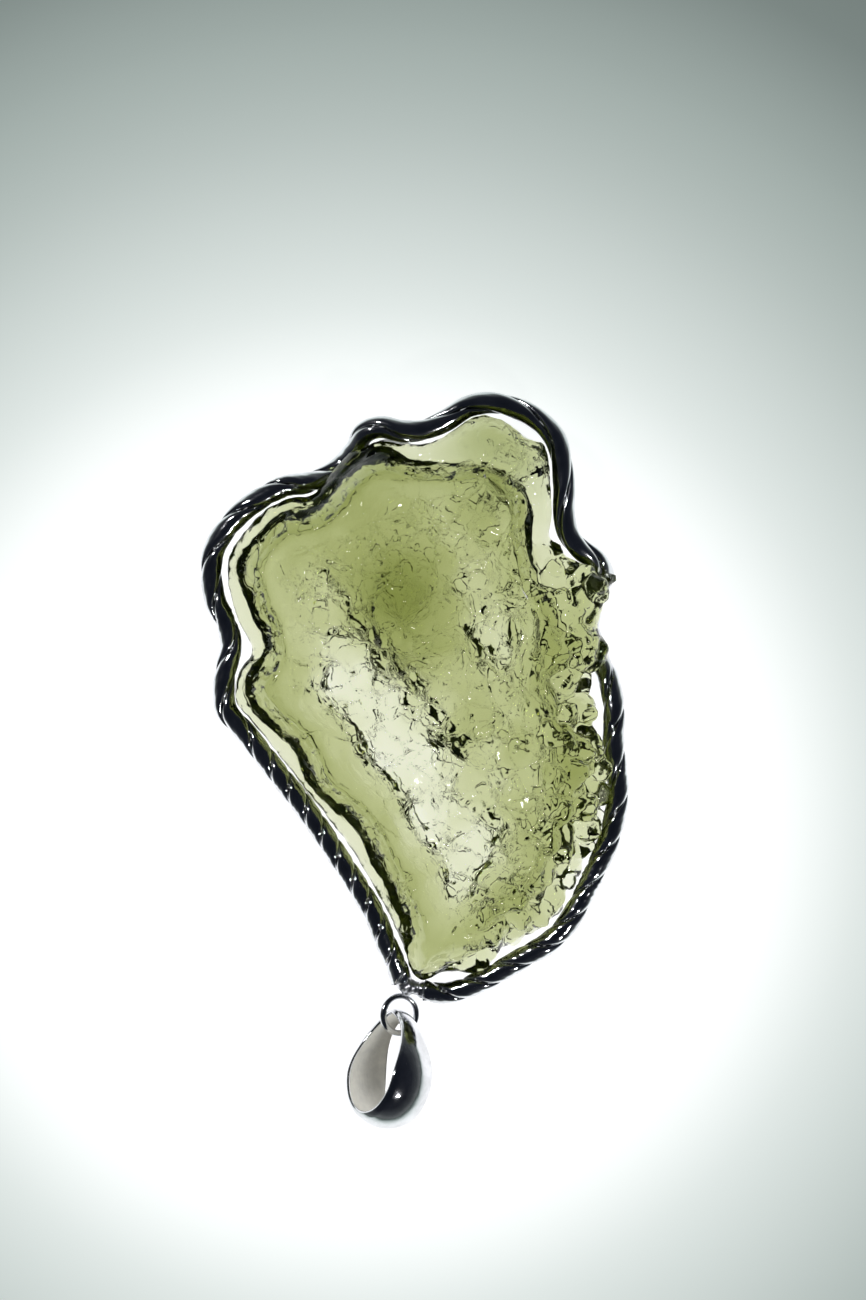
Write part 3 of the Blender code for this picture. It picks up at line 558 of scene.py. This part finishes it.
def lines_at(x, y):
    """Depth of the grooves in the stone's top, less the height of its ridges."""
    depth = np.zeros_like(x)
    for pixels, half_width, deepest in STONE_LINES:
        depth += deepest * np.exp(-((distance_to_line(x, y, pixels) / half_width) ** 2))
    return depth


def cell_bowls(points, size, layer):
    """Shallow bowls that meet in sharp ridges: 0 on a ridge and -1 at the bottom of a wide bowl."""
    return -np.clip(1 - (nearest_cell(points, size, layer) / BOWL_REACH) ** 2, 0, 1)


def thickness_behind(mesh, points, normals):
    """How much glass lies behind each point of the skin, in millimetres."""
    skin = bmesh.new()
    skin.from_mesh(mesh)
    tree = BVHTree.FromBMesh(skin)
    skin.free()
    found = [tree.ray_cast(Vector(point - UNDER_SKIN * normal) * MM, -Vector(normal))[3]
             for point, normal in zip(points, normals)]
    return np.array([THICKNESS_UNKNOWN if gap is None else gap / MM for gap in found])


def in_thin_glass(thickness, fading):
    """Share of relief that glass of a thickness keeps."""
    without, over, least = fading
    return np.clip((thickness - without) / over, least, 1.0)


def distance_to_frame(points):
    """How far each point is from the middle of the frame's wires, seen from above."""
    route = evenly_spaced(smooth_route(FRAME_ROUTE, closed=False), FRAME_PLACES, closed=False) + SHIFT
    nearest = np.full(len(points), FAR)
    for place in route:
        nearest = np.minimum(nearest, np.hypot(points[:, 0] - place[0], points[:, 1] - place[1]))
    return nearest


def past(points, border):
    """0 near the frame's wires, and 1 past a border at some distance from them."""
    distance, change = border
    return eased((distance_to_frame(points) - distance) / change)


def facing(slope):
    """1 on the face of the stone that turns this way, and 0 on its sides and its other face."""
    return eased((slope - FACING_FROM) / FACING_OVER)


def corner_lobe(x, y):
    """1 on the stone's upper right corner and 0 away from it."""
    middle_x, middle_y, reach = CORNER_LOBE
    return np.exp(-(((x - middle_x) / reach) ** 2 + ((y - middle_y) / reach) ** 2))


def broken_side(x, y):
    """1 on the right edge and at the lower right, where the stone is broken, and 0 away from them."""
    return np.maximum(*[
        eased((x - from_x) / change_x) * eased((to_y - y) / change_y)
        for from_x, change_x, to_y, change_y in BROKEN_PLACES])


def stone_relief(points, normals, thickness):
    """How far each point of the stone's skin moves out, in millimetres."""
    x, y = points[:, 0] - SHIFT[0], points[:, 1] - SHIFT[1]
    flat = points * BOWL_STRETCH
    bend = np.stack([noise_at(flat, BEND_SIZE, 5.0), noise_at(flat, BEND_SIZE, 9.0), 0 * x], axis=1)
    warped = flat + BOWL_BEND * bend
    wide_size, wide_top, wide_under = WIDE_BOWLS
    small_size, small_top, small_under = SMALL_BOWLS
    wide_bowls = cell_bowls(warped, wide_size, 2.0)
    small_bowls = cell_bowls(warped + SMALL_BOWL_BEND * bend, small_size, 6.0)
    patch_size, patch_share, patch_contrast = BOWL_PATCHES
    patches = eased(patch_share + patch_contrast * noise_at(points, patch_size, 12.0))
    on_step = 1 - past(points, STEP_ENDS)
    calm = 1 - RELIEF_LOST_ON_STEP * on_step * (1 - corner_lobe(x, y))
    calm *= in_thin_glass(thickness, RELIEF_IN_THIN_GLASS)
    ripple = calm * sum(height * noise_at(points, size, layer) for size, layer, height in RIPPLES)
    jagged_size, jagged_height = JAGGED_SKIN
    jagged = on_step * jagged_height * np.abs(noise_at(points * JAGGED_STRETCH, jagged_size, 4.0))
    lump_size, lump_height = BROKEN_LUMPS
    grain_size, grain_height = BROKEN_GRAIN
    grain = grain_height * noise_at(points, grain_size, 17.0)
    lumps = -cell_bowls(points, lump_size, 15.0) * lump_height + grain
    marks = in_thin_glass(thickness, MARKS_IN_THIN_GLASS) * (pits_at(x, y) + lines_at(x, y))
    bowls = calm * (wide_top * wide_bowls + small_top * patches * small_bowls)
    top = facing(normals[:, 2]) * (bowls - marks)
    under = facing(-normals[:, 2]) * calm * (wide_under * wide_bowls + small_under * small_bowls)
    return top + under + ripple + jagged + broken_side(x, y) * lumps


class PENDANT_PG_settings(bpy.types.PropertyGroup):
    """Sizes and colours of the pendant's looks."""

    ior: bpy.props.FloatProperty(
        name="Refraction", description="Index of refraction of the stone's glass",
        default=1.49, min=1.0, max=2.0)
    density: bpy.props.FloatProperty(
        name="Colour strength", description="How strongly the glass absorbs light, per metre",
        default=370.0, min=0.0)
    colour: bpy.props.FloatVectorProperty(
        name="Glass colour", description="Colour that the stone's glass lets through", subtype="COLOR",
        size=3, default=(0.5, 0.55, 0.1), min=0.0, max=1.0)
    roughness: bpy.props.FloatProperty(
        name="Glass roughness", description="Roughness of the stone's surface",
        default=0.03, min=0.0, max=1.0)
    silver_colour: bpy.props.FloatVectorProperty(
        name="Silver colour", description="Colour of the polished silver", subtype="COLOR",
        size=3, default=(0.82, 0.83, 0.86), min=0.0, max=1.0)
    inside_colour: bpy.props.FloatVectorProperty(
        name="Bail inside", description="Colour of the matte silver inside the bail", subtype="COLOR",
        size=3, default=(0.92, 0.9, 0.84), min=0.0, max=1.0)
    voxel: bpy.props.FloatProperty(
        name="Stone detail", description="Size of the stone's mesh, in millimetres",
        default=0.178, min=0.1, max=1.0)
    glow: bpy.props.FloatProperty(
        name="Table glow", description="Brightness of the lit table under the pendant", default=1.12, min=0.0)


class PENDANT_OT_stage(bpy.types.Operator):
    """Make the pale lit table, the soft studio light and the camera"""

    bl_idname = "pendant.stage"
    bl_label = "Table, light and camera"

    def execute(self, context):
        settings = context.scene.pendant
        make_table(settings)
        make_surroundings()
        make_lamps()
        make_camera()
        context.scene.view_settings.view_transform = "Standard"
        return {"FINISHED"}


def make_table(settings):
    """A pale table lit from within, brightest under the pendant."""
    bpy.ops.mesh.primitive_circle_add(
        vertices=128, radius=TABLE_RADIUS * MM, fill_type="NGON", location=(0, 0, -TABLE_GAP * MM))
    table = bpy.context.object
    table.name = "pale_table"
    made = bpy.data.materials.new("pale lit table")
    tree, shader = node_tree(made)
    shader.inputs["Base Color"].default_value = (0.27, 0.29, 0.285, 1)
    shader.inputs["Roughness"].default_value = 0.9
    shader.inputs["Specular IOR Level"].default_value = 0.1
    place = add_node(tree, "ShaderNodeTexCoord").outputs["Object"]
    to_middle = (-GLOW_MIDDLE[0] * MM, -GLOW_MIDDLE[1] * MM, 0.0)
    middle = add_node(tree, "ShaderNodeMapping", [("Vector", place), ("Location", to_middle)])
    distance = add_node(tree, "ShaderNodeVectorMath", [
        ("Vector", middle.outputs["Vector"])], operation="LENGTH")
    share = add_node(tree, "ShaderNodeMath", [
        (0, distance.outputs["Value"]), (1, GLOW_REACH * MM)], operation="DIVIDE")
    tone = add_node(tree, "ShaderNodeValToRGB", [("Fac", share.outputs["Value"])])
    tone.color_ramp.interpolation = "B_SPLINE"
    stops = ((0.0, (1, 1, 1)), (0.2, (1, 1, 1)), (0.25, (0.85, 0.88, 0.87)), (0.3, (0.6, 0.65, 0.63)),
             (0.36, (0.46, 0.51, 0.49)), (0.42, (0.31, 0.36, 0.34)), (0.47, (0.25, 0.3, 0.28)),
             (0.54, (0.1, 0.13, 0.12)), (0.75, (0.05, 0.07, 0.06)), (1.0, (0.02, 0.03, 0.025)))
    set_stops(tone, stops)
    tree.links.new(tone.outputs["Color"], shader.inputs["Emission Color"])
    shader.inputs["Emission Strength"].default_value = settings.glow
    table.data.materials.append(made)


def make_surroundings():
    """A dim room, darkest overhead."""
    world = bpy.data.worlds.new("dim room")
    bpy.context.scene.world = world
    world.use_nodes = True
    tree = world.node_tree
    direction = add_node(tree, "ShaderNodeTexCoord").outputs["Generated"]
    height = add_node(tree, "ShaderNodeSeparateXYZ", [("Vector", direction)])
    tone = add_node(tree, "ShaderNodeValToRGB", [("Fac", height.outputs["Z"])])
    stops = ((0.0, (0.16, 0.17, 0.17)), (0.2, (0.06, 0.066, 0.07)), (0.5, (0.014, 0.016, 0.022)),
             (1.0, (0.008, 0.01, 0.015)))
    set_stops(tone, stops)
    background = tree.nodes["Background"]
    tree.links.new(tone.outputs["Color"], background.inputs["Color"])
    background.inputs["Strength"].default_value = 1.0


def make_lamps():
    """Two small soft lights, which give the metal and glass their highlights."""
    for name, place, size, power in (
        ("window", (-0.22, 0.18, 0.34), 0.05, 0.4),
        ("lamp", (0.2, -0.22, 0.3), 0.035, 0.22),
    ):
        light = bpy.data.lights.new(name, "AREA")
        light.size = size
        light.energy = power
        lamp = bpy.data.objects.new(name, light)
        lamp.location = place
        lamp.rotation_euler = (-Vector(place)).to_track_quat("-Z", "Y").to_euler()
        bpy.context.scene.collection.objects.link(lamp)


def make_camera():
    data = bpy.data.cameras.new("camera")
    data.lens = CAMERA_LENS
    data.clip_start = 0.01
    camera = bpy.data.objects.new("camera", data)
    camera.location = (CAMERA_MIDDLE[0] * MM, CAMERA_MIDDLE[1] * MM, CAMERA_HEIGHT * MM)
    bpy.context.scene.collection.objects.link(camera)
    bpy.context.scene.camera = camera


class PENDANT_OT_stone(bpy.types.Operator):
    """Make the stone with its scallops, pits and broken edge"""

    bl_idname = "pendant.stone"
    bl_label = "Stone"

    def execute(self, context):
        settings = context.scene.pendant
        mesh = even_skin(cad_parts["stone"], settings.voxel)
        points = mesh_points(mesh) / MM
        edges = np.empty(len(mesh.edges) * 2, np.int32)
        mesh.edges.foreach_get("vertices", edges)
        edges = edges.reshape(-1, 2)
        off_foot = (points[:, 2] > FOOT_HEIGHT).astype(float)
        points = evened(points, edges, FACET_ROUNDS, off_foot, EVENING_BACK)
        points = evened(points, edges, MIDDLE_ROUNDS, off_foot * past(points, MIDDLE_BEGINS), EVENING_STEP)
        set_points(mesh, points)
        mesh.update()
        normals = mesh_normals(mesh)
        move = stone_relief(points, normals, thickness_behind(mesh, points, normals))
        move *= eased(points[:, 2] / RELIEF_FREE_HEIGHT)
        points = points + normals * move[:, None]
        points[:, 2] = np.maximum(points[:, 2], 0)
        set_points(mesh, points)
        stone = piece_from_mesh("moldavite_stone", mesh, [moldavite_glass(settings)])
        scalloped = LEAST_SCALLOPED + past(points, OUTLINES_BEGIN) + corner_lobe(points[:, 0], points[:, 1])
        attribute = mesh.attributes.new(SCALLOPED, "FLOAT", "POINT")
        attribute.data.foreach_set("value", np.clip(scalloped, 0, 1).astype(np.float32))
        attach(stone, "pendant")
        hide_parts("stone")
        return {"FINISHED"}


def strand_stations(route):
    """Places along the route, each with its direction and the angle that the wires have turned to."""
    lengths = np.r_[0, np.cumsum(np.linalg.norm(np.diff(route, axis=0), axis=1))]
    whole = lengths[-1]
    shares, pitches = zip(*TWIST_PITCH)
    angles = TWIST_START - np.r_[0, np.cumsum(
        2 * math.pi / np.interp(lengths[1:] / whole, shares, pitches) * np.diff(lengths))]
    places = np.linspace(0, whole, int(whole / STATION_STEP) + 1)
    points = np.stack([np.interp(places, lengths, route[:, axis]) for axis in range(3)], axis=1)
    directions = np.gradient(route, axis=0)
    directions = np.stack([np.interp(places, lengths, directions[:, axis]) for axis in range(3)], axis=1)
    directions /= np.linalg.norm(directions, axis=1)[:, None]
    return points, directions, np.interp(places, lengths, angles), places


def strand_rows(turn):
    """Rows of points round one wire of the frame, with the marks of tools in it."""
    route = evenly_spaced(smooth_route(FRAME_ROUTE, closed=False), STRAND_PLACES, closed=False)
    section = evenly_spaced(smooth_route(STRAND_SECTION, closed=True), STRAND_SIDES, closed=True)
    points, directions, angles, places = strand_stations(route)
    rows = []
    for point, direction, angle, place in zip(points, directions, angles, places):
        side = np.cross(direction, (0, 0, 1))
        side /= np.linalg.norm(side)
        up = np.cross(side, direction)
        outward = math.cos(angle + turn) * side + math.sin(angle + turn) * up
        across = np.cross(direction, outward)
        marked = 0.0
        for x, y, reach, depth in TOOL_MARKS:
            distance = math.hypot(point[0] - x, point[1] - y)
            marked += depth * math.exp(-((distance / reach) ** 2))
        uneven = MARK_UNEVENNESS * noise.noise((place, turn, 0.0))
        wave = 0.5 + 0.5 * math.sin(2 * math.pi * place / MARK_SPACING + uneven)
        scale = 1.0 - marked * wave
        rows.append([point + outward * (a * scale) + across * (b * scale) for a, b in section])
    return rows


class PENDANT_OT_frame_wires(bpy.types.Operator):
    """Make the two silver wires twisted round the stone"""

    bl_idname = "pendant.frame_wires"
    bl_label = "Frame wires"

    def execute(self, context):
        finish = silver("polished silver", context.scene.pendant.silver_colour, WIRE_FINISH)
        for name, node, turn in (
            ("frame_wire_a", "frame_strand_a", 0.0), ("frame_wire_b", "frame_strand_b", math.pi),
        ):
            wire = piece_from_grid(name, strand_rows(turn), False, [finish], capped=True)
            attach(wire, "pendant")
            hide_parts(node)
        return {"FINISHED"}


class PENDANT_OT_ring_and_solder(bpy.types.Operator):
    """Make the jump ring and the bead of solder that holds it"""

    bl_idname = "pendant.ring_and_solder"
    bl_label = "Jump ring and solder"

    def execute(self, context):
        finish = silver("ring silver", context.scene.pendant.silver_colour, RING_FINISH)
        wire_direction = np.array((math.cos(RING_TILT), 0, -math.sin(RING_TILT)))
        inward = np.array((0.0, 1.0, 0.0))
        axis = np.cross(wire_direction, inward)
        centre = np.array(RING_HANG_POINT) + inward * RING_RADIUS
        rows = []
        for angle in np.linspace(0, 2 * math.pi, RING_SEGMENTS, endpoint=False):
            outward = wire_direction * math.sin(angle) - inward * math.cos(angle)
            turns = np.linspace(0, 2 * math.pi, RING_SIDES, endpoint=False)
            rows.append([centre + outward * (RING_RADIUS + RING_WIRE_RADIUS * math.cos(turn))
                         + axis * (RING_WIRE_RADIUS * math.sin(turn)) for turn in turns])
        ring = piece_from_grid("round_jump_ring", rows, True, [finish])
        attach(ring, "pendant")
        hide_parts("jump_ring")

        bead_finish = silver("solder silver", context.scene.pendant.silver_colour, SOLDER_FINISH)
        drops = bmesh.new()
        for x, y, z, radius in SOLDER_DROPS:
            place = Matrix.Translation(Vector((x, y, z)) + Vector(SHIFT))
            bmesh.ops.create_icosphere(drops, subdivisions=3, radius=radius, matrix=place)
        bmesh.ops.scale(drops, verts=drops.verts, vec=(MM, MM, MM))
        rough = piece_from_shape("solder drops", drops, [])
        mesh = even_skin(rough, SOLDER_VOXEL)
        bpy.data.objects.remove(rough)
        points = mesh_points(mesh) / MM
        waves = SOLDER_WAVE_HEIGHT * noise_at(points, SOLDER_WAVE_SIZE, 2.0)
        set_points(mesh, points + mesh_normals(mesh) * waves[:, None])
        bead = piece_from_mesh("solder_bead", mesh, [bead_finish])
        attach(bead, "pendant")
        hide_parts("solder")
        return {"FINISHED"}


def bail_axes():
    """Along the bail from its point, across its loop, and along the hole through it."""
    lean_x, lean_y = BAIL_LEAN_DIRECTION
    sideways = math.sin(BAIL_LEAN)
    hole = Vector((sideways * lean_x, sideways * lean_y, math.cos(BAIL_LEAN))).normalized()
    along_x, along_y = BAIL_DIRECTION
    along = Vector((along_x, along_y, -(along_x * hole.x + along_y * hole.y) / hole.z)).normalized()
    return np.array(along), np.array(hole.cross(along)), np.array(hole)


def bail_profile(share):
    """A point of the drop outline, as distance from its point and distance across."""
    angle = 2 * math.pi * share
    along = BAIL_LENGTH * (1 - math.cos(angle)) / 2
    across = BAIL_HALF_DEPTH / BAIL_WIDEST * math.sin(angle) * abs(math.sin(angle / 2)) ** BAIL_BLUNTNESS
    return along, across


def bail_section(along):
    """Points round the band's section with rounded rims: place along the hole, then depth in."""
    widened = float(eased(along / BAIL_WIDENS_OVER))
    half = (BAIL_WIDTH_AT_POINT + (BAIL_WIDTH - BAIL_WIDTH_AT_POINT) * widened) / 2
    crown = BAIL_CROWN * half / (BAIL_WIDTH / 2)
    rim = BAIL_WALL / 2
    across = np.linspace(-1, 1, BAIL_OUTER_PLACES)[1:-1]
    outer = [(half * place, -crown * (1 - place * place)) for place in across]
    turns = np.linspace(0, math.pi, BAIL_RIM_PLACES)[1:-1]
    right = [(half - rim * (1 - math.sin(turn)), rim * (1 - math.cos(turn))) for turn in turns]
    back_across = np.linspace(1, -1, BAIL_INNER_PLACES)[1:-1]
    inner = [(half * place, BAIL_WALL - crown * (1 - place * place)) for place in back_across]
    left = [(-place, depth) for place, depth in right[::-1]]
    return outer + right + inner + left, len(outer) + len(right), len(inner)


class PENDANT_OT_bail(bpy.types.Operator):
    """Make the drop-shaped bail, polished outside and matte inside"""

    bl_idname = "pendant.bail"
    bl_label = "Bail"

    def execute(self, context):
        settings = context.scene.pendant
        along_axis, across_axis, hole_axis = bail_axes()
        rows = []
        for segment in range(BAIL_SEGMENTS):
            share = (segment + 0.5) / BAIL_SEGMENTS
            along, across = bail_profile(share)
            next_along, next_across = bail_profile(share + BAIL_STEP)
            tangent = Vector((next_along - along, next_across - across)).normalized()
            section, inner_start, inner_count = bail_section(along)
            rows.append([
                np.array(BAIL_POINT) + hole_axis * place + along_axis * (along + tangent.y * depth)
                + across_axis * (across - tangent.x * depth) for place, depth in section])
        outside = silver("bail silver", settings.silver_colour, BAIL_FINISH)
        inside = silver("matte silver inside the bail", settings.inside_colour, BAIL_INSIDE_FINISH)
        bail = piece_from_grid("drop_bail", rows, True, [outside, inside])
        sides = len(rows[0])
        for index, face in enumerate(bail.data.polygons):
            face.material_index = 1 if inner_start <= index % sides < inner_start + inner_count else 0
        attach(bail, "bail")
        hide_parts("bail")
        return {"FINISHED"}


class PENDANT_PT_panel(bpy.types.Panel):
    """The pendant's sizes, colours and pieces"""

    bl_idname = "PENDANT_PT_panel"
    bl_label = "Moldavite pendant"
    bl_space_type = "VIEW_3D"
    bl_region_type = "UI"
    bl_category = "Pendant"

    def draw(self, context):
        settings = context.scene.pendant
        for name in PENDANT_PG_settings.__annotations__:
            self.layout.prop(settings, name)
        for operator in OPERATORS:
            self.layout.operator(operator.bl_idname)


OPERATORS = (
    PENDANT_OT_stage, PENDANT_OT_stone, PENDANT_OT_frame_wires, PENDANT_OT_ring_and_solder, PENDANT_OT_bail,
)
CLASSES = (PENDANT_PG_settings, *OPERATORS, PENDANT_PT_panel)


def register():
    for made in CLASSES:
        bpy.utils.register_class(made)
    bpy.types.Scene.pendant = bpy.props.PointerProperty(type=PENDANT_PG_settings)


def unregister():
    del bpy.types.Scene.pendant
    for made in reversed(CLASSES):
        bpy.utils.unregister_class(made)


def main():
    register()
    bpy.ops.pendant.stage()
    bpy.ops.pendant.stone()
    bpy.ops.pendant.frame_wires()
    bpy.ops.pendant.ring_and_solder()
    bpy.ops.pendant.bail()


if __name__ == "__main__":
    main()
